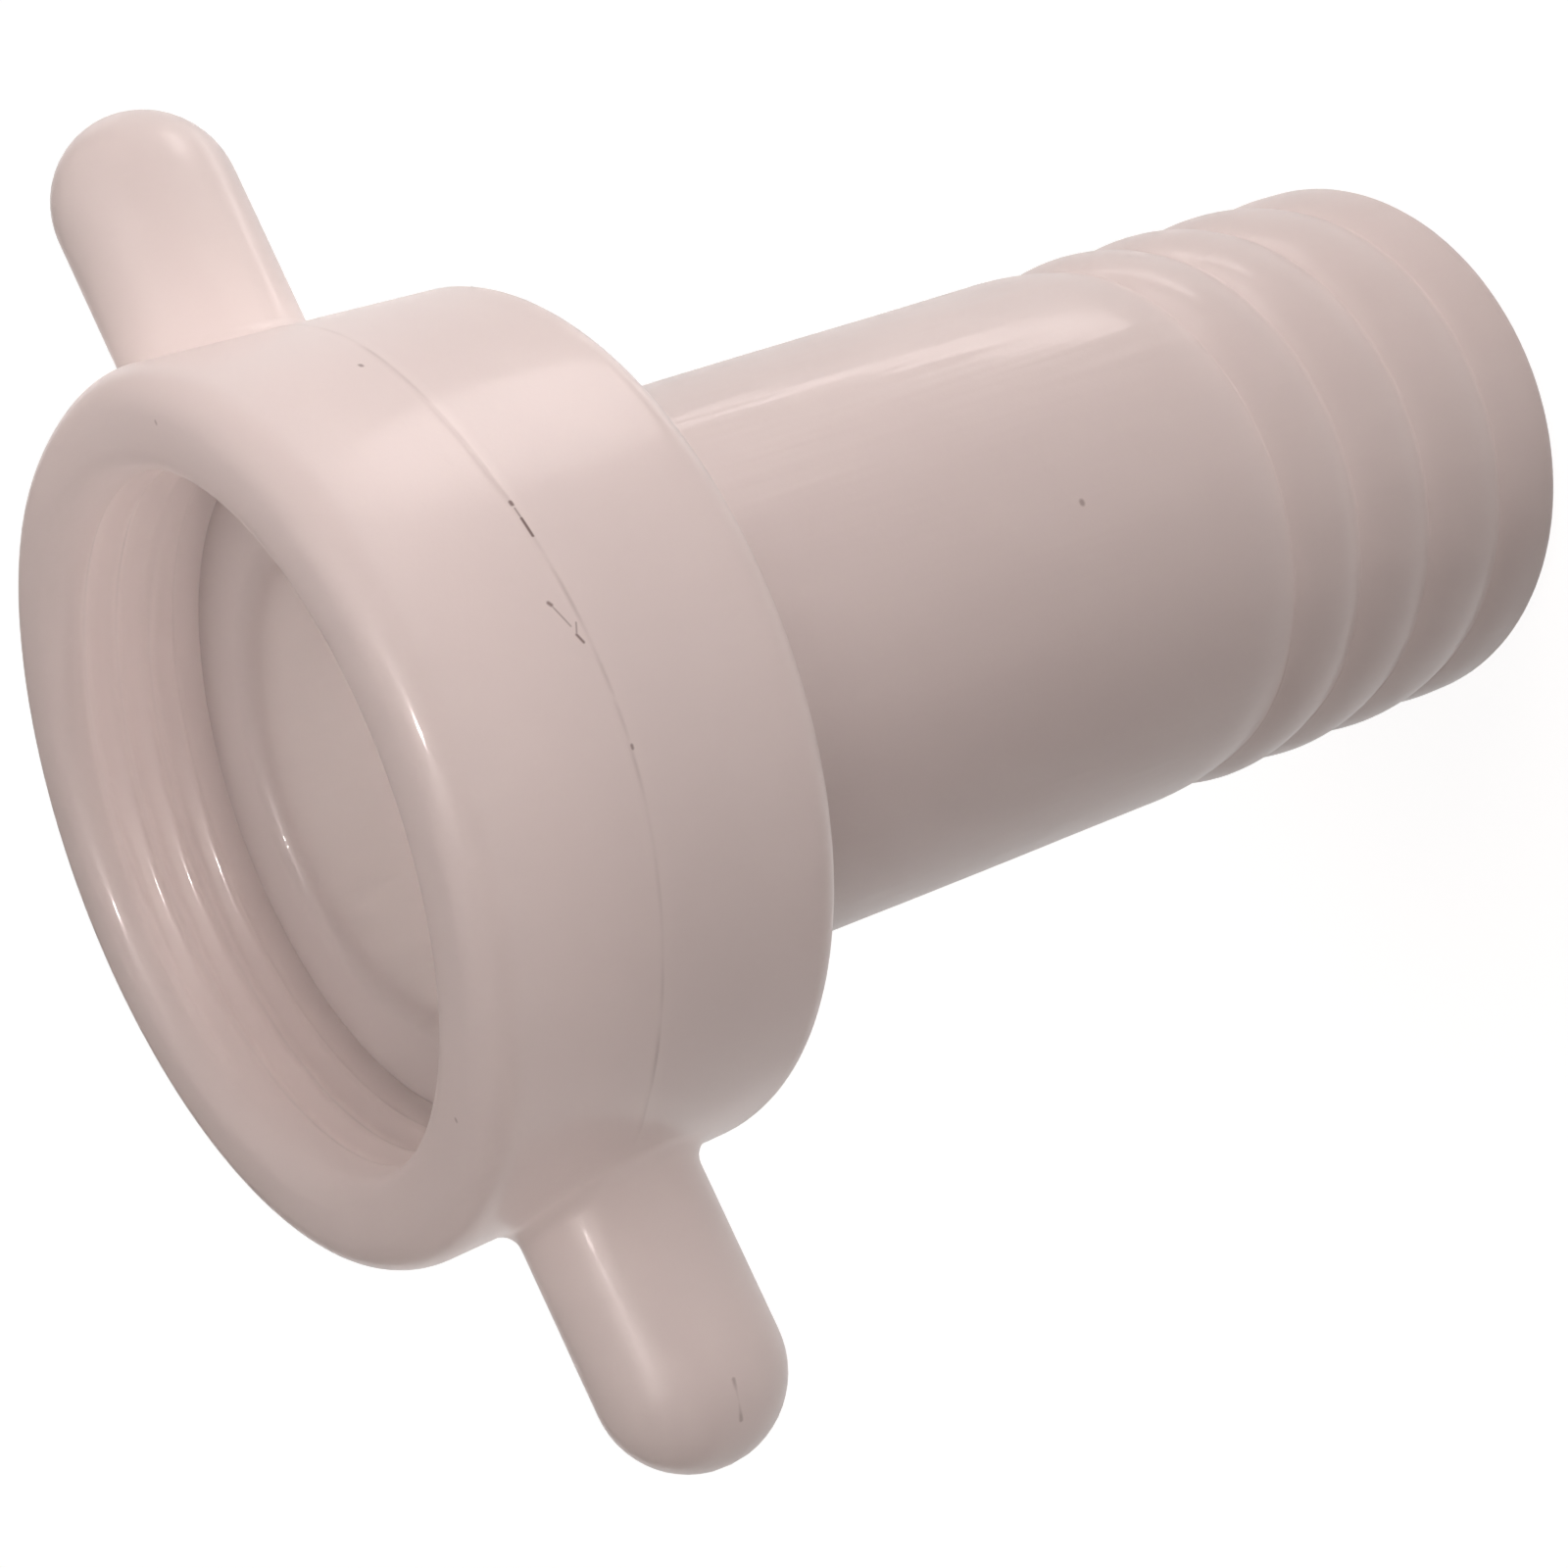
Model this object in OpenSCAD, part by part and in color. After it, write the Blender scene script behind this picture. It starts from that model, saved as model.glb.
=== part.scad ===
// Cap and tail fitting: a lugged swivel cap on a flanged, barbed hose tail, in mm.
// It stands on the tail's end with the cap's mouth up. The origin is the centre of the tail's end face,
// +Z runs along the axis to the mouth and the two lugs lie along X.
// The bench order is real: the tail drops through the mouth, barbs first, until its flange meets the seat.

/* [Cap] */
// Outside diameter of the cap
cap_d = 57.6; // [50:0.1:66]
// Length of the cap, mouth rim to back face
cap_len = 25; // [22:0.1:32]
// Thickness of the cap's back wall, which carries the seat
cap_floor = 9; // [5:0.1:12]
// Outer rounding of the mouth rim
rim_round = 2.5; // [0.5:0.1:3]
// Inner rounding of the mouth rim, the lead-in to the thread
lead_round = 1.8; // [0.5:0.1:2.4]
// Rounding of the cap's back edge
back_round = 2; // [1:0.1:5]
// Rounding of the neck hole's outer edge
neck_round = 0.8; // [0.2:0.1:1.5]

/* [Thread] */
// Diameter over the thread's roots, 1 1/2 inch parallel pipe thread
thread_major_d = 47.8; // [42:0.1:50]
// Diameter over the thread's crests
thread_minor_d = 44.85; // [40:0.05:47]
// Pitch of the thread, 11 to the inch
thread_pitch = 2.309; // [1.8:0.001:3.2]
// Number of full turns
thread_turns = 3; // [2:1:4]
// Depth from the mouth rim to the first root
thread_start = 1.9; // [1:0.1:3]
// Width of each crest flat
crest_flat = 0.6; // [0.3:0.05:0.9]
// Width of each root flat
root_flat = 0.5; // [0.2:0.05:0.8]
// Extra radius of the relief below the thread, past the roots
relief_extra = 0.3; // [0:0.05:0.8]
// Rounding of the relief's floor corner
relief_round = 1.2; // [0.3:0.1:2]

/* [Lugs] */
// Diameter of each lug
lug_d = 12.2; // [8:0.1:15]
// Span over the two lug tips
lug_span = 94; // [80:0.5:110]
// Flare where each lug leaves the cap
lug_flare = 2.6; // [0.5:0.1:4]
// Height of the lugs' axis above the cap's back face
lug_height = 11.8; // [9:0.1:17]

/* [Tail] */
// Outside diameter of the plain tube
tail_d = 39.2; // [32:0.1:42]
// Bore of the tail
bore_d = 31.6; // [26:0.1:34]
// Length of the tail, end face to flange face
tail_len = 89.9; // [70:0.1:130]
// Thickness of the flange
flange_t = 5.5; // [3:0.1:7]
// Rounding of the flange's outer edges
flange_round = 0.6; // [0.2:0.1:1.2]
// Fillet between the tube and the flange's seat face
flange_fillet = 0.8; // [0.2:0.1:1]
// Rounding of the bore's edge in the flange face
bore_round = 1.5; // [0.3:0.1:2]
// Rounding of the tail's outer end edge
end_round = 1.2; // [0.3:0.1:1.6]
// Rounding of the bore's edge at the tail's end
end_bore_round = 0.6; // [0.2:0.1:1]

/* [Barbs] */
// Number of barbs
barb_count = 4; // [2:1:6]
// Diameter over the barbs
barb_d = 40.8; // [40.2:0.1:42.6]
// Distance from one barb's crest to the next
barb_pitch = 7.2; // [5:0.1:10]
// Distance from the tail's end to the middle of the first crest
barb_first = 2.6; // [2:0.1:6]
// Length of the cylindrical land on each crest
barb_land = 0.8; // [0.4:0.1:1.6]
// Radius of the crest's ramp towards the tail's end, which the hose is pushed up
barb_ramp = 9; // [6:0.5:14]
// Radius of the crest's slow fall towards the cap
barb_back = 7; // [4:0.5:12]
// Angle, in degrees, at which the fall breaks into the shoulder
barb_lean = 14; // [6:1:24]
// Rounding of the shoulder's edge
barb_edge = 0.6; // [0.3:0.1:1]
// Fillet at the shoulder's foot
barb_foot = 0.5; // [0.2:0.1:1]

/* [Fits] */
// Radial clearance of the barbs in the cap's neck hole
neck_clear = 0.2; // [0.1:0.05:0.5]
// Radial clearance of the flange inside the thread's crests
flange_clear = 0.22; // [0.1:0.02:0.6]
// Axial gap between the flange and the cap's seat
seat_gap = 0.1; // [0.05:0.05:0.4]

/* [Hidden] */
$fn = 120;
eps = 0.01;
cap_r = cap_d / 2;
bore_r = bore_d / 2;
tail_r = tail_d / 2;
barb_r = barb_d / 2;
lug_r = lug_d / 2;
crest_r = thread_minor_d / 2;
root_r = thread_major_d / 2;
relief_r = root_r + relief_extra;
neck_r = barb_r + neck_clear;
flange_r = crest_r - flange_clear;
// the cap's places, seen from the flange that stops it
seat_z = tail_len - flange_t - seat_gap;
cap_z = seat_z - cap_floor;
// the thread, counted from the cap's back face
thread_top = cap_len - thread_start;
thread_low = thread_top - thread_turns * thread_pitch;
thread_depth = root_r - crest_r;
flank_w = (thread_pitch - crest_flat - root_flat) / 2;
// a barb, counted along the axis from the middle of its crest: its shoulder's edge is a small arc
// tangent to the crest's fall, and its foot another, tangent to that edge and to the tube
barb_h = barb_r - tail_r;
ramp_w = sqrt(2 * barb_ramp * barb_h - barb_h * barb_h);
edge_x = barb_r - barb_back + (barb_back - barb_edge) * cos(barb_lean);
edge_z = barb_land / 2 + (barb_back - barb_edge) * sin(barb_lean);
foot_x = tail_r + barb_foot;
foot_z = edge_z + sqrt(max(0, pow(barb_edge + barb_foot, 2) - pow(max(0, foot_x - edge_x), 2)));
// the flare's foot reaches the cap's curved side all round
flare_r = lug_r + lug_flare;
flare_x = sqrt(cap_r * cap_r - flare_r * flare_r) - 0.2;

// The sliver that a square corner loses to a round one. x and y are the round's centre,
// and sx and sy, each 1 or -1, point from it to the corner.
module corner_cut(x, y, r, sx, sy) {
    difference() {
        translate([sx > 0 ? x : x - r - 0.5, sy > 0 ? y : y - r - 0.5]) square(r + 0.5);
        translate([x, y]) circle(r = r);
    }
}

// One root of the thread in the half section, from inside the bore to the root flat.
module thread_root(y) {
    polygon([
        [crest_r - 1, y - flank_w - root_flat / 2],
        [crest_r, y - flank_w - root_flat / 2],
        [root_r, y - root_flat / 2],
        [root_r, y + root_flat / 2],
        [crest_r, y + flank_w + root_flat / 2],
        [crest_r - 1, y + flank_w + root_flat / 2]
    ]);
}

// The room that the cap's wall leaves open, from the axis outwards: neck hole, relief and thread.
module cap_hollow() {
    translate([0, -1]) square([neck_r, cap_len + 2]);
    difference() {
        translate([0, cap_floor]) square([relief_r, thread_low - cap_floor]);
        corner_cut(relief_r - relief_round, cap_floor + relief_round, relief_round, 1, -1);
    }
    translate([0, thread_low - eps]) square([crest_r, cap_len - thread_low + 1]);
    for (i = [0 : thread_turns - 1]) thread_root(thread_low + (i + 0.5) * thread_pitch);
}

// Half section of the cap's ring, from its back face at 0 to the mouth rim.
module cap_section() {
    difference() {
        translate([neck_r - 1, 0]) square([cap_r - neck_r + 1, cap_len]);
        cap_hollow();
        corner_cut(cap_r - rim_round, cap_len - rim_round, rim_round, 1, 1);
        corner_cut(crest_r + lead_round, cap_len - lead_round, lead_round, -1, 1);
        corner_cut(cap_r - back_round, back_round, back_round, 1, -1);
        corner_cut(neck_r + neck_round, neck_round, neck_round, -1, -1);
    }
}

// Half section of a lug about its own axis: x is the radius and y the distance from the cap's axis.
// The foot flares into the cap's side and the tip is a half ball.
module lug_section() {
    tip = lug_span / 2;
    foot = flare_x - 1;
    translate([0, foot]) square([lug_r, tip - lug_r - foot]);
    intersection() {
        translate([0, tip - lug_r]) circle(r = lug_r);
        translate([0, tip - lug_r - eps]) square([lug_r + 1, lug_r + 1]);
    }
    difference() {
        translate([0, flare_x]) square([flare_r, lug_flare]);
        translate([flare_r, flare_x + lug_flare]) circle(r = lug_flare);
    }
}

module lug() {
    rotate([0, 90, 0]) rotate_extrude() lug_section();
}

// One moulded piece: the threaded ring, its back wall with the seat, and two hand lugs.
module cap() {
    color([0.86, 0.83, 0.82]) translate([0, 0, cap_z]) {
        rotate_extrude() cap_section();
        translate([0, 0, lug_height]) lug();
        translate([0, 0, lug_height]) rotate([0, 0, 180]) lug();
    }
}

// Height of the middle of a barb's crest, counted from the tail's end.
function crest_z(i) = barb_first + i * barb_pitch;

// Half section of one barb and the wall behind it. The lowest one's land runs on to the tail's end.
module barb_section(i) {
    low = i == 0 ? crest_z(0) : barb_land / 2;
    translate([0, crest_z(i)]) {
        translate([bore_r, -low]) square([barb_r - bore_r, low + barb_land / 2]);
        if (i > 0) intersection() {
            translate([barb_r - barb_ramp, -barb_land / 2]) circle(r = barb_ramp);
            translate([bore_r, -barb_land / 2 - ramp_w]) square([barb_r - bore_r, ramp_w]);
        }
        intersection() {
            translate([barb_r - barb_back, barb_land / 2]) circle(r = barb_back);
            translate([bore_r, barb_land / 2]) square([barb_r - bore_r, barb_back * sin(barb_lean)]);
        }
        translate([edge_x, edge_z]) circle(r = barb_edge);
        difference() {
            polygon([[bore_r, edge_z], [edge_x, edge_z], [foot_x, foot_z], [bore_r, foot_z]]);
            translate([foot_x, foot_z]) circle(r = barb_foot);
        }
    }
}

module flange_section() {
    seat = tail_len - flange_t;
    difference() {
        translate([bore_r, seat]) square([flange_r - bore_r, flange_t]);
        corner_cut(flange_r - flange_round, tail_len - flange_round, flange_round, 1, 1);
        corner_cut(flange_r - flange_round, seat + flange_round, flange_round, 1, -1);
    }
    difference() {
        translate([bore_r, seat - flange_fillet]) square([tail_r + flange_fillet - bore_r, flange_fillet + eps]);
        translate([tail_r + flange_fillet, seat - flange_fillet]) circle(r = flange_fillet);
    }
}

// One moulded piece: the flange that the cap traps, the long tube and the barbs.
module tail() {
    color([0.84, 0.81, 0.8]) rotate_extrude() difference() {
        union() {
            translate([bore_r, 0]) square([tail_r - bore_r, tail_len]);
            for (i = [0 : barb_count - 1]) barb_section(i);
            flange_section();
        }
        corner_cut(barb_r - end_round, end_round, end_round, 1, -1);
        corner_cut(bore_r + end_bore_round, end_bore_round, end_bore_round, -1, -1);
        corner_cut(bore_r + bore_round, tail_len - bore_round, bore_round, -1, 1);
    }
}

cap();
tail();
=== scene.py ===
import math

import bmesh
import bpy
from mathutils import Euler, Matrix, Vector, noise


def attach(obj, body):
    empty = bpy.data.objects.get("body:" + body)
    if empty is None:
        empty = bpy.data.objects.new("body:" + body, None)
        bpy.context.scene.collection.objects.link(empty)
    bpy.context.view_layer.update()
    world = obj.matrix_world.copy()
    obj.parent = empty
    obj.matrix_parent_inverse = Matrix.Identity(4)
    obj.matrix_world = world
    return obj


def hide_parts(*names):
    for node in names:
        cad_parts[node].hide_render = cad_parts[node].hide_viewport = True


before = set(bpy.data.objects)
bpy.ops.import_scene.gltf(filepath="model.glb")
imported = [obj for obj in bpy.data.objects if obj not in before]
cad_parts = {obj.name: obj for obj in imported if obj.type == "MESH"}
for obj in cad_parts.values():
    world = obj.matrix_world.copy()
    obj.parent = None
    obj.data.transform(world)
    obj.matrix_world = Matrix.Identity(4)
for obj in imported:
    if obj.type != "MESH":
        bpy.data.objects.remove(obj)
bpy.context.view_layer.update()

# A cap and tail fitting in natural moulded plastic, standing on its tail's end with the mouth up.
# Sizes are in mm, as in the part's source, and MM brings them to Blender's metres.
MM = 0.001

# Cap
CAP_R = 28.8
CAP_LEN = 25.0
CAP_FLOOR = 9.0
RIM_ROUND = 2.5
LEAD_ROUND = 1.8
BACK_ROUND = 2.0
NECK_ROUND = 0.8
# The relief under the thread, drawn narrower and shallower than the solid's: light seeps through the
# real wall and hides how deep the gap beside the flange goes
RELIEF_R = 22.8
RELIEF_Z = 13.3
RELIEF_ROUND = 0.3
POCKET_R = 22.4
# Thread: 1 1/2 inch parallel pipe thread, right-hand, as one helix of soft turns
CREST_R = 22.425
# Drawn shallower than the solid's 23.9: light seeps through the real crests and softens the grooves
ROOT_R = 23.4
PITCH = 2.309
TURNS = 3
THREAD_START = 1.9
# How far above the thread's low end the helix begins, by how many turns it falls short of the full
# ones, and the angle over which it fades in and out
HELIX_LIFT = 0.75
HELIX_SHORT = 0.62
HELIX_FADE = 0.9
# Lugs
LUG_R = 6.1
LUG_TIP = 47.0
LUG_HEIGHT = 11.8
LUG_FILLET = 1.3
# Sinks, where the outer wall drew in as the thick lugs cooled after it: the depth on the +X and on
# the -X side, how wide they are, as an angle, and how far outside the thread's roots they begin
SINK_RIGHT = 0.45
SINK_LEFT = 0.15
SINK_WIDTH = 0.32
SINK_CLEAR = 0.8
# Tail
BORE_R = 15.8
TAIL_LEN = 89.9
FLANGE_R = 22.205
FLANGE_T = 5.5
FLANGE_ROUND = 0.6
FLANGE_FILLET = 0.8
BORE_ROUND = 1.5
END_ROUND = 1.2
END_BORE_ROUND = 0.6
# Barbs: humps between sharp notches, a little lower towards the cap. For each hump, the radius of its
# crest, the height of the notch that ends it and how far it falls to that notch
BARBS = ((20.4, 5.8, 0.55), (20.4, 13.4, 0.7), (20.3, 20.5, 0.7), (20.15, 27.2, 0.7))
END_R = BARBS[0][0]
FIRST_CREST = 2.6
CREST_SHARE = 0.52
HUMP_ROUND = 2.2
HUMP_STEPS = 9
# Each notch's little step down, which holds the hose: shares of its depth, and heights past its edge
NOTCH_STEP = 0.12
NOTCH_SIDE = ((0.25, 0.07), (0.3, 0.1), (0.8, 0.14), (1.0, 0.26))
# The tube, drawn slimmer to the cap, and the height from which it runs straight
TUBE_SWELL = 32.5
TUBE_R = 19.88
TUBE_NECK_R = 19.33
TUBE_NECK_Z = 66.0
# The tube cooled a little out of round: the depth of its waves, the level above which the skin stays
# full size, how many there are in a metre across and along, and the length over which they fade in
# at the tail's end and go on inside the cap
WAVE_DEPTH = 0.06
WAVE_LEVEL = 0.4
WAVES_ACROSS = 150
WAVES_ALONG = 50
WAVE_FADE = 4
# All that lies outside this radius is the tail's outer skin
TAIL_SKIN = TUBE_NECK_R - 0.5
# Fits
NECK_R = 20.6
SEAT_GAP = 0.1
CAP_Z = TAIL_LEN - FLANGE_T - SEAT_GAP - CAP_FLOOR
THREAD_LOW = CAP_LEN - THREAD_START - TURNS * PITCH
LUG_Z = CAP_Z + LUG_HEIGHT

CAP_STEPS = 288
TAIL_STEPS = 240
# How far apart the points of a half section lie at most
THREAD_GAP = 0.1
WALL_GAP = 0.7
PLAIN_GAP = 0.8
NECK_GAP = 1.2
BORE_GAP = 1.5
# Two points no further apart than this are level with each other
NEAR = 0.01
# The outer wall's rows and steps that make way for a lug, counted from its middle, and half the
# angle and half the height that they take up
LUG_ROWS = 13
LUG_ROW_GAP = 0.65
PATCH_ANGLE = math.radians(360 / CAP_STEPS * (LUG_ROWS + 0.1))
PATCH_HEIGHT = LUG_ROWS * LUG_ROW_GAP + 0.1
# A lug's rows: how far each of the first goes to the round foot, then over the fillet, along the
# shaft, which begins this far off the fillet, and over the ball end
FOOT_SHARES = (0.35, 0.55, 1.0)
FILLET_STEPS = 7
SHAFT_STEPS = 10
SHAFT_CLEAR = 0.6
BALL_STEPS = 14

# The moulds part a little above the lugs' middle and leave a low ridge round the cap.
SEAM_HEIGHT = 0.035
SEAM_HALF = 0.2
SEAM_ROW = LUG_HEIGHT + 2 * LUG_ROW_GAP
SEAM_Z = CAP_Z + SEAM_ROW + SEAM_HALF
# How far the ridge strays up and down, in how many waves a turn, and where they start
SEAM_STRAY = 0.3
SEAM_WAVES = 4.3
SEAM_PHASE = 1.13
# The rows that stray with it, and the angle over which it dies out at a lug's foot
SEAM_REACH = 2.5
SEAM_HOLD = 1.3
SEAM_FADE = 0.2
# Dirt that it holds: the least, and the most that patches of it add, and how many there are round it
DIRT_LEAST = 0.04
DIRT_PATCHES = 0.3
DIRT_SCALE = 9
# The wall beside the ridge, so that the ridge itself is what reaches the cap's full size
WALL_R = CAP_R - SEAM_HEIGHT - NEAR

# The white board reaches this far to each side, a hair under the tail's end
FLOOR_REACH = 3000
FLOOR_DROP = 0.02
# The softboxes stand round a point on the part's axis
PART_MIDDLE = 50
LAMP_DISTANCE = 800


def smooth(t):
    """0 to 1 with soft ends."""
    t = min(max(t, 0.0), 1.0)
    return t * t * (3 - 2 * t)


def arc(x, z, radius, start, end, steps):
    """Points of an arc in the half section, angles in degrees, both ends included."""
    turn = [math.radians(start + (end - start) * i / steps) for i in range(steps + 1)]
    return [(x + radius * math.cos(a), z + radius * math.sin(a)) for a in turn]


def run(a, b, gap):
    """Points strictly between two points of the half section, no further apart than gap."""
    count = max(1, math.ceil(math.hypot(b[0] - a[0], b[1] - a[1]) / gap))
    return [(a[0] + (b[0] - a[0]) * i / count, a[1] + (b[1] - a[1]) * i / count) for i in range(1, count)]


def spin(outline, steps):
    """A closed outline of (radius, height) points in mm, turned once round the Z axis."""
    bm = bmesh.new()
    verts = [bm.verts.new((r * MM, 0, z * MM)) for r, z in outline]
    edges = [bm.edges.new(pair) for pair in zip(verts, verts[1:] + verts[:1])]
    bmesh.ops.spin(
        bm, geom=verts + edges, cent=(0, 0, 0), axis=(0, 0, 1), angle=math.tau, steps=steps, use_merge=True)
    return bm


def finish_piece(bm, name, body, node, material):
    """Turns a bmesh into a smooth piece that stands for a CAD node."""
    bmesh.ops.remove_doubles(bm, verts=bm.verts, dist=1e-7)
    bmesh.ops.recalc_face_normals(bm, faces=bm.faces)
    mesh = bpy.data.meshes.new(name)
    bm.to_mesh(mesh)
    bm.free()
    mesh.shade_smooth()
    mesh.materials.append(material)
    piece = bpy.data.objects.new(name, mesh)
    bpy.context.scene.collection.objects.link(piece)
    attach(piece, body)
    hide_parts(node)
    return piece


# ---- Cap ----

def groove_depth(angle, height):
    """How far the thread is cut past its crests here: one soft helix, faded in and out."""
    low = THREAD_LOW + HELIX_LIFT
    last = math.tau * (TURNS - HELIX_SHORT)
    best = 0.0
    for turn in range(TURNS + 1):
        along = angle + math.tau * turn
        off = abs(height - low - PITCH * along / math.tau) / (PITCH / 2)
        if off < 1 and 0 <= along <= last:
            fade = smooth(along / HELIX_FADE) * smooth((last - along) / HELIX_FADE)
            best = max(best, fade * smooth(1 - off))
    return best * (ROOT_R - CREST_R)


def sink(angle):
    """How far the outer wall drew in beside the lugs."""
    near = abs(math.remainder(angle, math.tau))
    far = math.pi - near
    return SINK_RIGHT * math.exp(-(near / SINK_WIDTH) ** 2) + SINK_LEFT * math.exp(-(far / SINK_WIDTH) ** 2)


def seam_lift(angle):
    """How far the parting line strays from its own height here."""
    return SEAM_STRAY * math.cos(SEAM_WAVES * (math.remainder(angle, math.tau) + SEAM_PHASE))


def seam_share(angle):
    """1 where the ridge runs free, down to 0 where it meets a lug."""
    free = abs(math.remainder(angle, math.pi)) - PATCH_ANGLE
    return smooth(min(free, SEAM_FADE) / SEAM_FADE)


def seam_dirt(angle):
    """How dark the dirt is that the ridge holds here."""
    spot = Vector((DIRT_SCALE * math.cos(angle), DIRT_SCALE * math.sin(angle), 0.5))
    return seam_share(angle) * (DIRT_LEAST + DIRT_PATCHES * abs(noise.noise(spot)))


def on_seam(turn, lift):
    """A point of the cap's side at an angle in degrees, this far above the parting line."""
    a = math.radians(turn)
    return CAP_R * math.cos(a), CAP_R * math.sin(a), SEAM_Z + seam_lift(a) + lift


def cap_outline():
    """The cap's closed half section, up its outside from the back face and down its inside."""
    rows = [LUG_HEIGHT + LUG_ROW_GAP * i for i in range(-LUG_ROWS, LUG_ROWS + 1)]
    rows = sorted(rows + [SEAM_ROW + SEAM_HALF, SEAM_ROW + 2 * SEAM_HALF])
    out = arc(WALL_R - BACK_ROUND, BACK_ROUND, BACK_ROUND, -90, 0, steps=12)
    out += run(out[-1], (WALL_R, rows[0]), WALL_GAP) + [(WALL_R, z) for z in rows]
    rim = arc(WALL_R - RIM_ROUND, CAP_LEN - RIM_ROUND, RIM_ROUND, 0, 90, steps=14)
    out += run(out[-1], rim[0], WALL_GAP) + rim
    lead = arc(CREST_R + LEAD_ROUND, CAP_LEN - LEAD_ROUND, LEAD_ROUND, 90, 180, steps=10)
    out += run(out[-1], lead[0], PLAIN_GAP) + lead
    out += run(out[-1], (CREST_R, THREAD_LOW), THREAD_GAP)
    out += [(CREST_R, THREAD_LOW), (RELIEF_R, THREAD_LOW)]
    corner = arc(RELIEF_R - RELIEF_ROUND, RELIEF_Z + RELIEF_ROUND, RELIEF_ROUND, 0, -90, steps=4)
    out += run(out[-1], corner[0], PLAIN_GAP) + corner
    for point in ((POCKET_R, RELIEF_Z), (POCKET_R, CAP_FLOOR), (NECK_R, CAP_FLOOR)):
        out += run(out[-1], point, PLAIN_GAP) + [point]
    neck = arc(NECK_R + NECK_ROUND, NECK_ROUND, NECK_ROUND, 180, 270, steps=6)
    out += run(out[-1], neck[0], NECK_GAP) + neck
    out += run(out[-1], out[0], PLAIN_GAP)
    return [(r, CAP_Z + z) for r, z in out]


def grow_ring(bm, edges, place):
    """Extrudes a ring of edges once and puts each new point where place says."""
    made = bmesh.ops.extrude_edge_only(bm, edges=edges)["geom"]
    verts = {g for g in made if isinstance(g, bmesh.types.BMVert)}
    for v in verts:
        v.co = place(v.co)
    return [g for g in made if isinstance(g, bmesh.types.BMEdge) and set(g.verts) <= verts]


def grow_lug(bm, side):
    """Opens the cap's side and grows a lug out of it: a fillet, a shaft and a ball end in one skin."""

    def in_patch(face):
        c = face.calc_center_median() / MM
        near_side = abs(math.atan2(c.y, side * c.x)) < PATCH_ANGLE
        return near_side and abs(c.z - LUG_Z) < PATCH_HEIGHT and math.hypot(c.x, c.y) > ROOT_R + SINK_CLEAR

    def place(share, radius, reach):
        """Moves points round the lug's axis: share of the way to radius, and out to what reach says."""
        def put(co):
            y, z = co.y / MM, co.z / MM - LUG_Z
            now = math.hypot(y, z)
            want = now + (radius - now) * share
            turn = math.atan2(z, y)
            y, z = want * math.cos(turn), want * math.sin(turn)
            return Vector((side * reach(y), y, z + LUG_Z)) * MM
        return put

    def skin(y):
        """How far from the cap's axis, along the lug, its side lies here."""
        wall = WALL_R - sink(math.asin(y / WALL_R) + (0 if side > 0 else math.pi))
        return math.sqrt(wall ** 2 - y * y)

    patch = {f for f in bm.faces if in_patch(f)}
    ring = [e for e in bm.edges if len(patch.intersection(e.link_faces)) == 1]
    bmesh.ops.delete(bm, geom=list(patch), context="FACES")
    foot = LUG_R + LUG_FILLET
    for share in FOOT_SHARES:
        ring = grow_ring(bm, ring, place(share, foot, skin))
    for step in range(1, FILLET_STEPS + 1):
        t = math.radians(90 * step / FILLET_STEPS)
        up = LUG_FILLET * (1 - math.cos(t))
        ring = grow_ring(bm, ring, place(1, foot - LUG_FILLET * math.sin(t), lambda y, up=up: skin(y) + up))
    shaft = CAP_R + LUG_FILLET + SHAFT_CLEAR
    end = LUG_TIP - LUG_R
    for step in range(SHAFT_STEPS + 1):
        x = shaft + (end - shaft) * step / SHAFT_STEPS
        ring = grow_ring(bm, ring, place(1, LUG_R, lambda y, x=x: x))
    for step in range(1, BALL_STEPS):
        t = math.radians(90 * step / BALL_STEPS)
        x = end + LUG_R * math.sin(t)
        ring = grow_ring(bm, ring, place(1, LUG_R * math.cos(t), lambda y, x=x: x))
    tip = {v for e in ring for v in e.verts}
    bmesh.ops.pointmerge(bm, verts=list(tip), merge_co=Vector((side * LUG_TIP, 0, LUG_Z)) * MM)


def make_cap(material):
    bm = spin(cap_outline(), CAP_STEPS)
    low = CAP_Z + THREAD_LOW + NEAR
    top = CAP_Z + CAP_LEN - LEAD_ROUND - 2 * NEAR
    dirt = bm.verts.layers.float.new("dirt")
    for v in bm.verts:
        r, z = math.hypot(v.co.x, v.co.y) / MM, v.co.z / MM
        turn = math.atan2(v.co.y, v.co.x) % math.tau
        want = r
        if abs(r - CREST_R) < NEAR and low < z < top:
            want += groove_depth(turn, z - CAP_Z)
        if r > ROOT_R + SINK_CLEAR:
            want -= sink(turn) * smooth((r - ROOT_R) / (WALL_R - ROOT_R))
        if abs(r - WALL_R) < NEAR:
            if abs(z - SEAM_Z) < NEAR:
                want += SEAM_HEIGHT * seam_share(turn)
                v[dirt] = seam_dirt(turn)
            # The rows beside the ridge stray with it
            beside = smooth(SEAM_HOLD - SEAM_HOLD * abs(z - SEAM_Z) / SEAM_REACH)
            v.co.z += seam_lift(turn) * seam_share(turn) * beside * MM
        v.co.x *= want / r
        v.co.y *= want / r
    for side in (1, -1):
        grow_lug(bm, side)
    return finish_piece(bm, "moulded_cap", "cap", "cap", material)


# ---- Tail ----

def fall(top, foot):
    """A hump's side from its top, left out, down to its foot, as (radius, height) points."""
    shares = [i / HUMP_STEPS for i in range(1, HUMP_STEPS + 1)]
    return [(top[0] + (foot[0] - top[0]) * t ** HUMP_ROUND, top[1] + (foot[1] - top[1]) * t) for t in shares]


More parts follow.
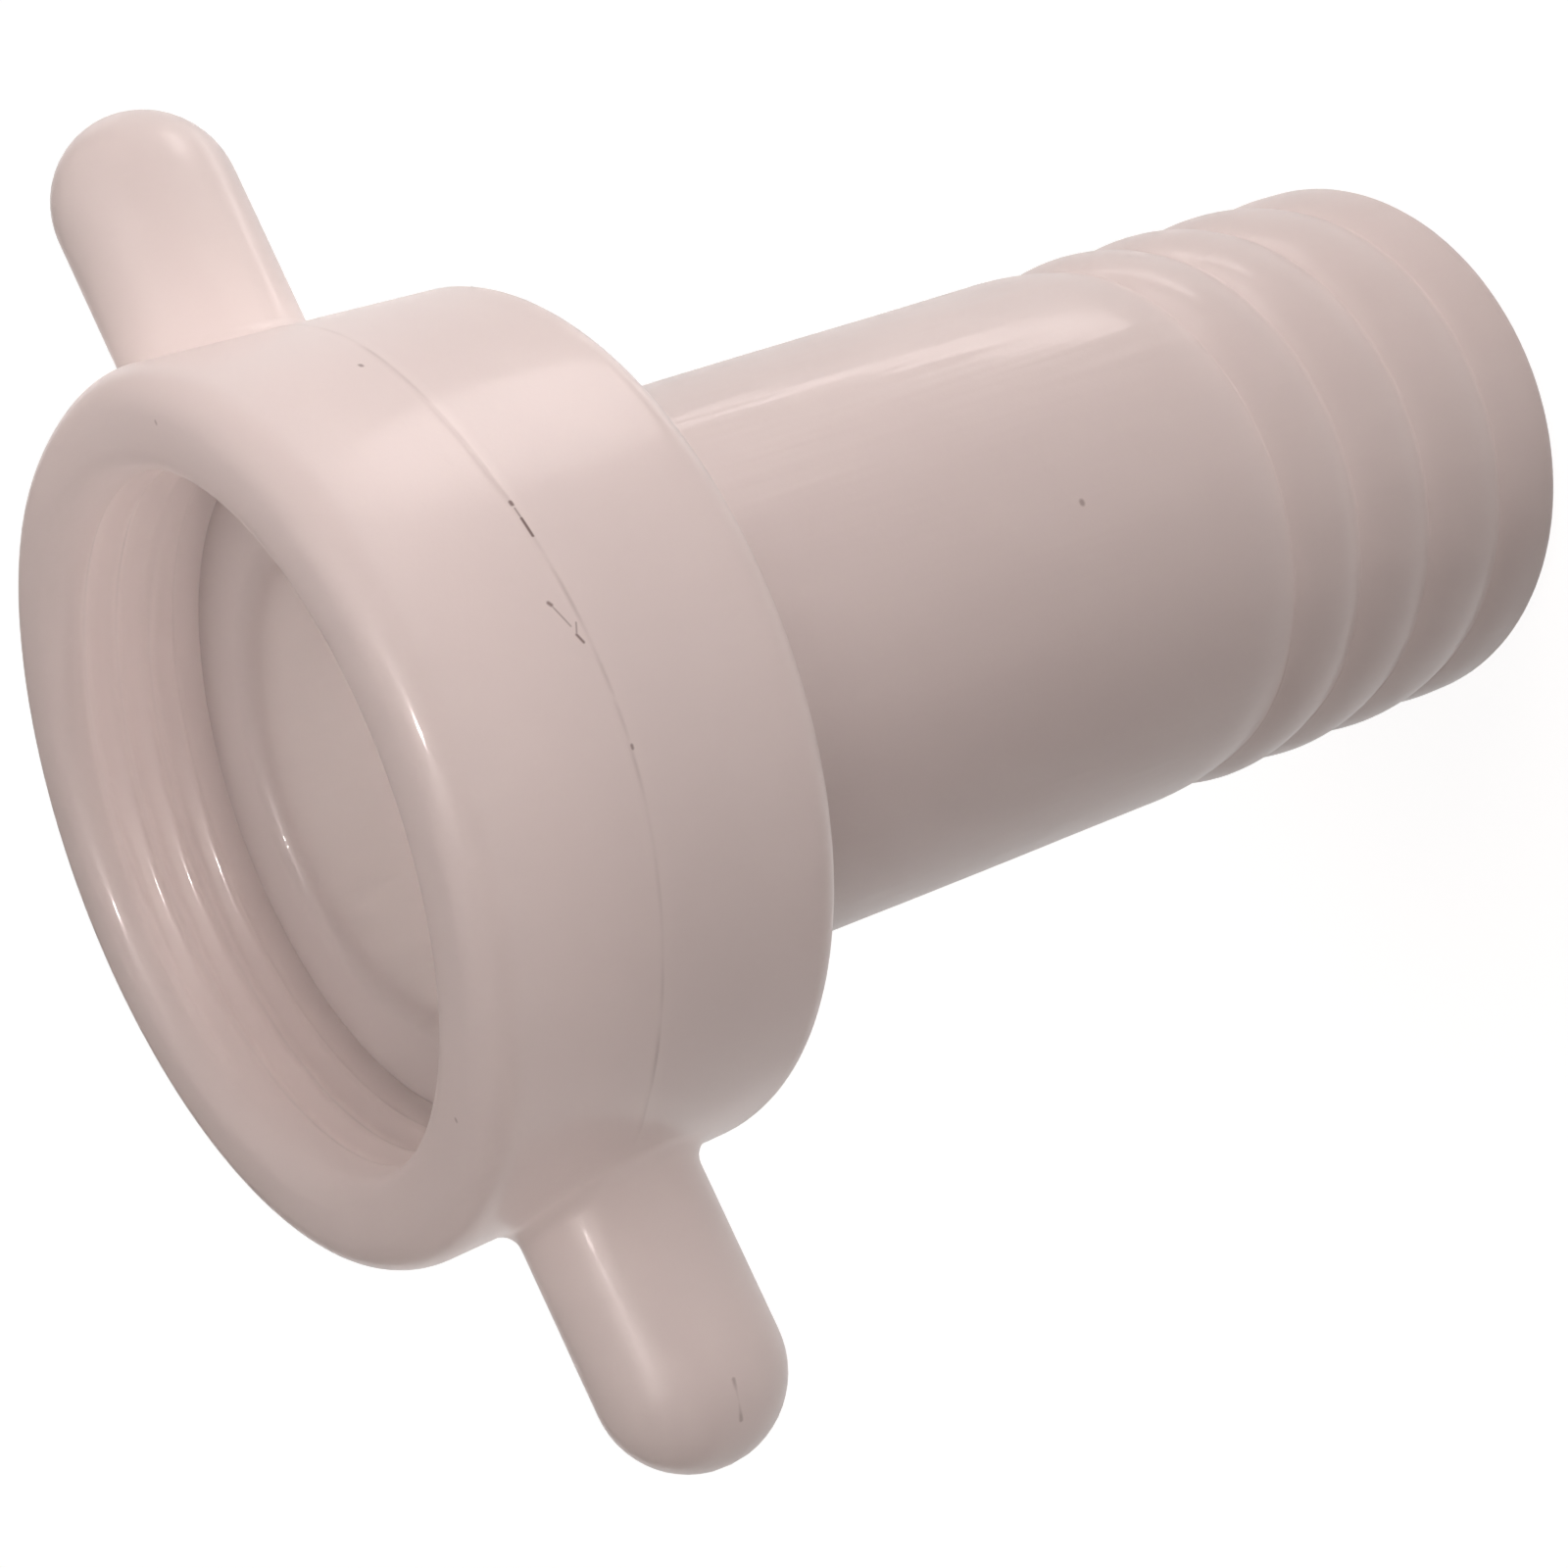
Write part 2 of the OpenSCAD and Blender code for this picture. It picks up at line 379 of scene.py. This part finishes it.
def barbs():
    """The skin of the humps and of the tube's start, from the tail's end towards the cap."""
    out = []
    foot = None
    for crest, z, depth in BARBS:
        edge = crest - depth
        if foot is None:
            # The tail's end cuts the first hump off at its crest
            top = (crest, FIRST_CREST)
        else:
            top = (crest, foot[1] + CREST_SHARE * (z - foot[1]))
            out += fall(top, foot)[::-1]
        out += [top] + fall(top, (edge, z))
        step = [(edge - share * NOTCH_STEP, z + up) for share, up in NOTCH_SIDE]
        out += step[:-1]
        foot = step[-1]
    top = (TUBE_R, TUBE_SWELL)
    return out + fall(top, foot)[::-1] + [top]


def tail_outline():
    """The tail's closed half section, up its outside from the end and down its bore."""
    out = arc(BORE_R + END_BORE_ROUND, END_BORE_ROUND, END_BORE_ROUND, 180, 270, steps=5)
    end = arc(END_R - END_ROUND, END_ROUND, END_ROUND, -90, 0, steps=8)
    out += run(out[-1], end[0], PLAIN_GAP) + end + barbs()
    neck = (TUBE_NECK_R, TUBE_NECK_Z)
    out += run(out[-1], neck, WALL_GAP) + [neck]
    seat = TAIL_LEN - FLANGE_T
    root = arc(TUBE_NECK_R + FLANGE_FILLET, seat - FLANGE_FILLET, FLANGE_FILLET, 180, 90, steps=5)
    under = arc(FLANGE_R - FLANGE_ROUND, seat + FLANGE_ROUND, FLANGE_ROUND, -90, 0, steps=5)
    over = arc(FLANGE_R - FLANGE_ROUND, TAIL_LEN - FLANGE_ROUND, FLANGE_ROUND, 0, 90, steps=5)
    lip = arc(BORE_R + BORE_ROUND, TAIL_LEN - BORE_ROUND, BORE_ROUND, 90, 180, steps=8)
    for part in (root, under, over, lip):
        out += run(out[-1], part[0], PLAIN_GAP) + part
    out += run(out[-1], out[0], BORE_GAP)
    return out


def make_tail(material):
    bm = spin(tail_outline(), TAIL_STEPS)
    for v in bm.verts:
        r, z = math.hypot(v.co.x, v.co.y) / MM, v.co.z / MM
        # The waves break the tube's highlight. They only take away, so that no barb grows past its size.
        if r > TAIL_SKIN and z < CAP_Z + WAVE_FADE:
            spot = Vector((v.co.x * WAVES_ACROSS, v.co.y * WAVES_ACROSS, v.co.z * WAVES_ALONG))
            shift = WAVE_DEPTH * (noise.noise(spot) - WAVE_LEVEL) * smooth(z / WAVE_FADE)
            v.co.x *= 1 + min(shift, 0) / r
            v.co.y *= 1 + min(shift, 0) / r
    return finish_piece(bm, "moulded_tail", "tail", "tail", material)


# ---- Materials ----

def colour(code):
    """sRGB hex to the linear colour that a shader reads."""
    parts = [int(code[i:i + 2], 16) / 255 for i in (1, 3, 5)]
    return [c / 12.92 if c <= 0.04045 else ((c + 0.055) / 1.055) ** 2.4 for c in parts] + [1.0]


def add(tree, kind, inputs=None, **settings):
    """Adds one node: settings are its own, and inputs are values, or sockets to link."""
    made = tree.nodes.new(kind)
    for key, value in settings.items():
        setattr(made, key, value)
    for key, value in (inputs or {}).items():
        if isinstance(value, bpy.types.NodeSocket):
            tree.links.new(value, made.inputs[key])
        else:
            made.inputs[key].default_value = value
    return made


def new_material(name):
    mat = bpy.data.materials.new(name)
    mat.use_nodes = True
    mat.node_tree.nodes.clear()
    return mat, mat.node_tree


def dash(tree, place, start, end, width, dark):
    """A short dark line between two points of the skin, in mm: dark on it and 0 beside it."""
    a, b = Vector(start) * MM, Vector(end) * MM
    off = add(tree, "ShaderNodeVectorMath", {0: place, 1: a}, operation="SUBTRACT")
    along = add(tree, "ShaderNodeVectorMath", {
        0: off.outputs[0], 1: (b - a) / (b - a).length_squared}, operation="DOT_PRODUCT")
    share = add(tree, "ShaderNodeClamp", {"Value": along.outputs["Value"]})
    near = add(tree, "ShaderNodeVectorMath", {0: b - a, "Scale": share.outputs[0]}, operation="SCALE")
    gap = add(tree, "ShaderNodeVectorMath", {0: off.outputs[0], 1: near.outputs[0]}, operation="DISTANCE")
    return add(tree, "ShaderNodeMapRange", {
        "Value": gap.outputs["Value"], "From Min": 0.3 * width * MM, "From Max": 0.8 * width * MM,
        "To Min": dark, "To Max": 0.0}).outputs[0]


def dent(tree, pattern, strength, distance, under=None):
    """Lays a pattern over the skin's shading as bumps up to distance high, in mm, on those under it."""
    inputs = {"Height": pattern.outputs[0], "Strength": strength, "Distance": distance * MM}
    if under:
        inputs["Normal"] = under.outputs[0]
    return add(tree, "ShaderNodeBump", inputs)


def natural_plastic(name, clear, cloudy, depth, drag, marks):
    """Natural nylon, injection moulded: milky, a little pink, satin where the mould was stoned.

    Light goes depth mm into it, and drag is how strong the lines are that the mould left along it.
    """
    mat, tree = new_material(name)
    place = add(tree, "ShaderNodeTexCoord").outputs["Object"]
    # Clouds about 25 mm across: the melt's slow change of tint
    clouds = add(tree, "ShaderNodeTexNoise", {"Vector": place, "Scale": 40.0, "Detail": 3.0})
    tint = add(tree, "ShaderNodeMix", {
        "Factor": clouds.outputs[0], 6: colour(clear), 7: colour(cloudy)}, data_type="RGBA")
    # Dirt caught by the parting line, and charred specks and scratches
    dark = add(tree, "ShaderNodeAttribute", attribute_name="dirt").outputs["Fac"]
    for mark in marks:
        dark = add(tree, "ShaderNodeMath", {0: dark, 1: dash(tree, place, *mark)}, operation="MAXIMUM").outputs[0]
    tint = add(tree, "ShaderNodeMix", {"Factor": dark, 6: tint.outputs[2], 7: colour("#5E4038")}, data_type="RGBA")
    # The stoned mould's grain, drawn at 0.25 mm where the real one is finer: it breaks up the highlights
    grain = add(tree, "ShaderNodeTexNoise", {"Vector": place, "Scale": 4000.0, "Detail": 1.0})
    # Drag lines a millimetre or two apart, from the part's way out of the mould
    long = add(tree, "ShaderNodeMapping", {"Vector": place, "Scale": (1.0, 1.0, 0.07)})
    lines = add(tree, "ShaderNodeTexNoise", {"Vector": long.outputs[0], "Scale": 450.0, "Detail": 2.0})
    # Orange peel about 1 mm across and 3 mm flow waves, both very shallow
    peel = add(tree, "ShaderNodeTexNoise", {"Vector": place, "Scale": 900.0, "Detail": 2.0})
    flow = add(tree, "ShaderNodeTexNoise", {"Vector": place, "Scale": 300.0, "Detail": 1.0})
    bump = dent(tree, grain, 0.12, 0.02)
    bump = dent(tree, lines, drag, 0.2, bump)
    bump = dent(tree, peel, 0.15, 0.04, bump)
    bump = dent(tree, flow, 0.2, 0.1, bump)
    sheen = add(tree, "ShaderNodeMapRange", {"Value": flow.outputs[0], "To Min": 0.36, "To Max": 0.46})
    skin = add(tree, "ShaderNodeBsdfPrincipled", {
        "Base Color": tint.outputs[2], "Roughness": sheen.outputs[0], "Normal": bump.outputs[0],
        "Specular IOR Level": 0.35, "IOR": 1.53,
        "Coat Weight": 0.2, "Coat Roughness": 0.11, "Coat Normal": bump.outputs[0],
        "Subsurface Weight": 1.0, "Subsurface Radius": (1.0, 1.0, 1.0), "Subsurface Scale": depth * MM},
        subsurface_method="BURLEY")
    add(tree, "ShaderNodeOutputMaterial", {"Surface": skin.outputs[0]})
    return mat


def white_floor():
    """White board: its shadow stays, and the camera sees the rest as white."""
    mat, tree = new_material("white_board")
    path = add(tree, "ShaderNodeLightPath")
    board = add(tree, "ShaderNodeBsdfDiffuse", {"Color": colour("#E8E8E8")})
    # The lamps fade with distance, so the far board glows by itself and meets the world without a line
    place = add(tree, "ShaderNodeTexCoord").outputs["Object"]
    away = add(tree, "ShaderNodeVectorMath", {0: place}, operation="LENGTH")
    level = add(tree, "ShaderNodeMapRange", {
        "Value": away.outputs["Value"], "From Min": 0.25, "From Max": 1.0, "To Min": 0.9, "To Max": 1.0})
    glow = add(tree, "ShaderNodeEmission", {"Color": colour("#FFFFFF"), "Strength": level.outputs[0]})
    soft = add(tree, "ShaderNodeBsdfDiffuse", {"Color": (0.3, 0.3, 0.3, 1)})
    seen = add(tree, "ShaderNodeAddShader", {0: glow.outputs[0], 1: soft.outputs[0]})
    direct = path.outputs["Is Camera Ray"]
    for ray in ("Is Glossy Ray", "Is Transmission Ray"):
        direct = add(tree, "ShaderNodeMath", {0: direct, 1: path.outputs[ray]}, operation="MAXIMUM").outputs[0]
    both = add(tree, "ShaderNodeMixShader", {0: direct, 1: board.outputs[0], 2: seen.outputs[0]})
    add(tree, "ShaderNodeOutputMaterial", {"Surface": both.outputs[0]})
    return mat


# ---- Stage ----

def make_floor():
    bm = bmesh.new()
    drop = Matrix.Translation((0, 0, -FLOOR_DROP * MM))
    bmesh.ops.create_grid(bm, x_segments=1, y_segments=1, size=FLOOR_REACH * MM, matrix=drop)
    mesh = bpy.data.meshes.new("floor")
    bm.to_mesh(mesh)
    bm.free()
    mesh.materials.append(white_floor())
    floor = bpy.data.objects.new("floor", mesh)
    bpy.context.scene.collection.objects.link(floor)


def make_world():
    """A dim, warm room that the camera sees as white."""
    world = bpy.data.worlds.new("studio")
    bpy.context.scene.world = world
    world.use_nodes = True
    tree = world.node_tree
    tree.nodes.clear()
    path = add(tree, "ShaderNodeLightPath")
    room = add(tree, "ShaderNodeBackground", {"Color": colour("#FFE8DA"), "Strength": 0.1})
    white = add(tree, "ShaderNodeBackground", {"Color": colour("#FFFFFF"), "Strength": 1.0})
    both = add(tree, "ShaderNodeMixShader", {0: path.outputs["Is Camera Ray"], 1: room.outputs[0], 2: white.outputs[0]})
    add(tree, "ShaderNodeOutputWorld", {"Surface": both.outputs[0]})


def new_lamp(name, shape, size, power, tone):
    """A flat lamp that the camera doesn't see: its object and its data, size in mm."""
    data = bpy.data.lights.new(name, "AREA")
    data.shape = shape
    data.size, data.size_y = size[0] * MM, size[1] * MM
    data.energy = power
    data.color = colour(tone)[:3]
    lamp = bpy.data.objects.new(name, data)
    lamp.visible_camera = False
    bpy.context.scene.collection.objects.link(lamp)
    return lamp, data


def softbox(name, turn, height, power, tone="#FFF2EF", size=(500, 500), glint=False):
    """A round softbox that faces the part's middle: turn and height are its direction in degrees.

    A plain one lights the part but shows in no highlight, and a glint is a highlight alone.
    """
    box, _ = new_lamp(name, "ELLIPSE", size, power, tone)
    a, e = math.radians(turn), math.radians(height)
    away = Vector((math.cos(a) * math.cos(e), math.sin(a) * math.cos(e), math.sin(e)))
    box.location = Vector((0, 0, PART_MIDDLE)) * MM + away * LAMP_DISTANCE * MM
    box.rotation_euler = away.to_track_quat("Z", "Y").to_euler()
    box.visible_diffuse = not glint
    box.visible_transmission = not glint
    box.visible_glossy = glint


def bench_panel(name, centre, size, power, turn=0, tone="#FFF2EF", shape="ELLIPSE", spread=180, glint=False):
    """A small flat lamp on the bench, facing up: centre in mm, and turn and spread in degrees."""
    panel, data = new_lamp(name, shape, size, power, tone)
    data.spread = math.radians(spread)
    panel.location = Vector(centre) * MM
    panel.rotation_euler = (math.pi, 0, math.radians(turn))
    panel.visible_diffuse = not glint
    panel.visible_transmission = not glint


def make_lamps():
    # The windows stay low, so that they light the sides more than the mouth.
    softbox("window", 0, 3, 1.0, size=(500, 260))
    softbox("window_side", 315, 3, 3.35, size=(500, 260))
    softbox("ceiling", 0, 80, 1.85, tone="#FFF6F4")
    softbox("room_left", 180, 40, 0.17)
    softbox("room_front", 240, 40, 1.1)
    # The small highlights on the rim and the lower lug
    softbox("spark", 274.5, 67.5, 2.9, size=(45, 45), glint=True)
    # The light that the milky tube gathers from all round and passes on to its bore
    bench_panel("bore_glow", (0, 0, 1), (24, 24), 0.0092, tone="#FFFEFA", spread=40)
    # What the bench throws back: a line along the tube and a soft patch low on the cap's side
    bench_panel("bench_glint", (78, -12, 1), (80, 10), 0.013, turn=24.4, shape="RECTANGLE", glint=True)
    bench_panel("bench_bounce", (138, -88, 2), (90, 90), 0.11, glint=True)


def make_camera():
    """The photograph's own camera, solved from the object's outline."""
    data = bpy.data.cameras.new("camera")
    data.lens = 67.725
    data.sensor_width = 36
    data.shift_x = -0.005
    data.shift_y = 0.0057
    data.clip_start = 0.01
    eye = bpy.data.objects.new("camera", data)
    eye.location = Vector((-33.85, -163.63, 170.22)) * MM
    eye.rotation_euler = Euler([math.radians(a) for a in (-28.787, 51.3, -133.498)], "XYZ")
    bpy.context.scene.collection.objects.link(eye)
    bpy.context.scene.camera = eye


# Marks on the skin: their two ends, width and darkness
CAP_MARKS = (
    # A scratch on the parting line
    (on_seam(-76.5, 0), on_seam(-76.8, 0), 0.24, 0.8),
    (on_seam(-77.4, 0), on_seam(-78.5, 0), 0.12, 0.55),
    (on_seam(-78.8, 0), on_seam(-81.2, 0), 0.17, 0.85),
    # A hooked one beside it
    (on_seam(-89.1, 1.3), on_seam(-89.4, 1.2), 0.22, 0.7),
    (on_seam(-89.5, 1.2), on_seam(-92.3, 0.7), 0.12, 0.5),
    (on_seam(-92.1, 0.3), on_seam(-93.4, 0.6), 0.12, 0.6),
    (on_seam(-93.4, 0.6), on_seam(-94.4, 0.4), 0.17, 0.75),
    # Specks on the side
    (on_seam(-106.7, -0.1), on_seam(-107, -0.1), 0.2, 0.6),
    (on_seam(-49, 1.4), on_seam(-49.3, 1.4), 0.26, 0.6),
    # Specks on the rim
    ((20.9, -15.6, 100.2), (20.8, -15.6, 100.2), 0.25, 0.5),
    ((-22.1, -13.2, 100.2), (-22.2, -13.2, 100.2), 0.25, 0.5),
    # A scratch near the lower lug's tip
    ((-42.2, -5.9, 87.6), (-44.6, -4.8, 87.7), 0.22, 0.35))
TAIL_MARKS = (
    # A speck on the tube and one on the barbs
    ((-1.7, -19.55, 44.6), (-1.8, -19.55, 44.6), 0.36, 0.5),
    ((-5.8, -19.5, 19.9), (-5.9, -19.5, 19.9), 0.25, 0.6))

make_camera()
# Both pieces are the same nylon, but the cap's tones are set lighter and the tail's darker: painted light on the cap
# and painted shade on the tail.
make_cap(natural_plastic("natural_nylon_cap", "#E9E1DF", "#E3D9D6", 18, 0.03, CAP_MARKS))
make_tail(natural_plastic("natural_nylon_tail", "#DDD4D2", "#D7CCC9", 4, 0.7, TAIL_MARKS))
make_floor()
make_world()
make_lamps()

bpy.context.scene.view_settings.view_transform = "Standard"
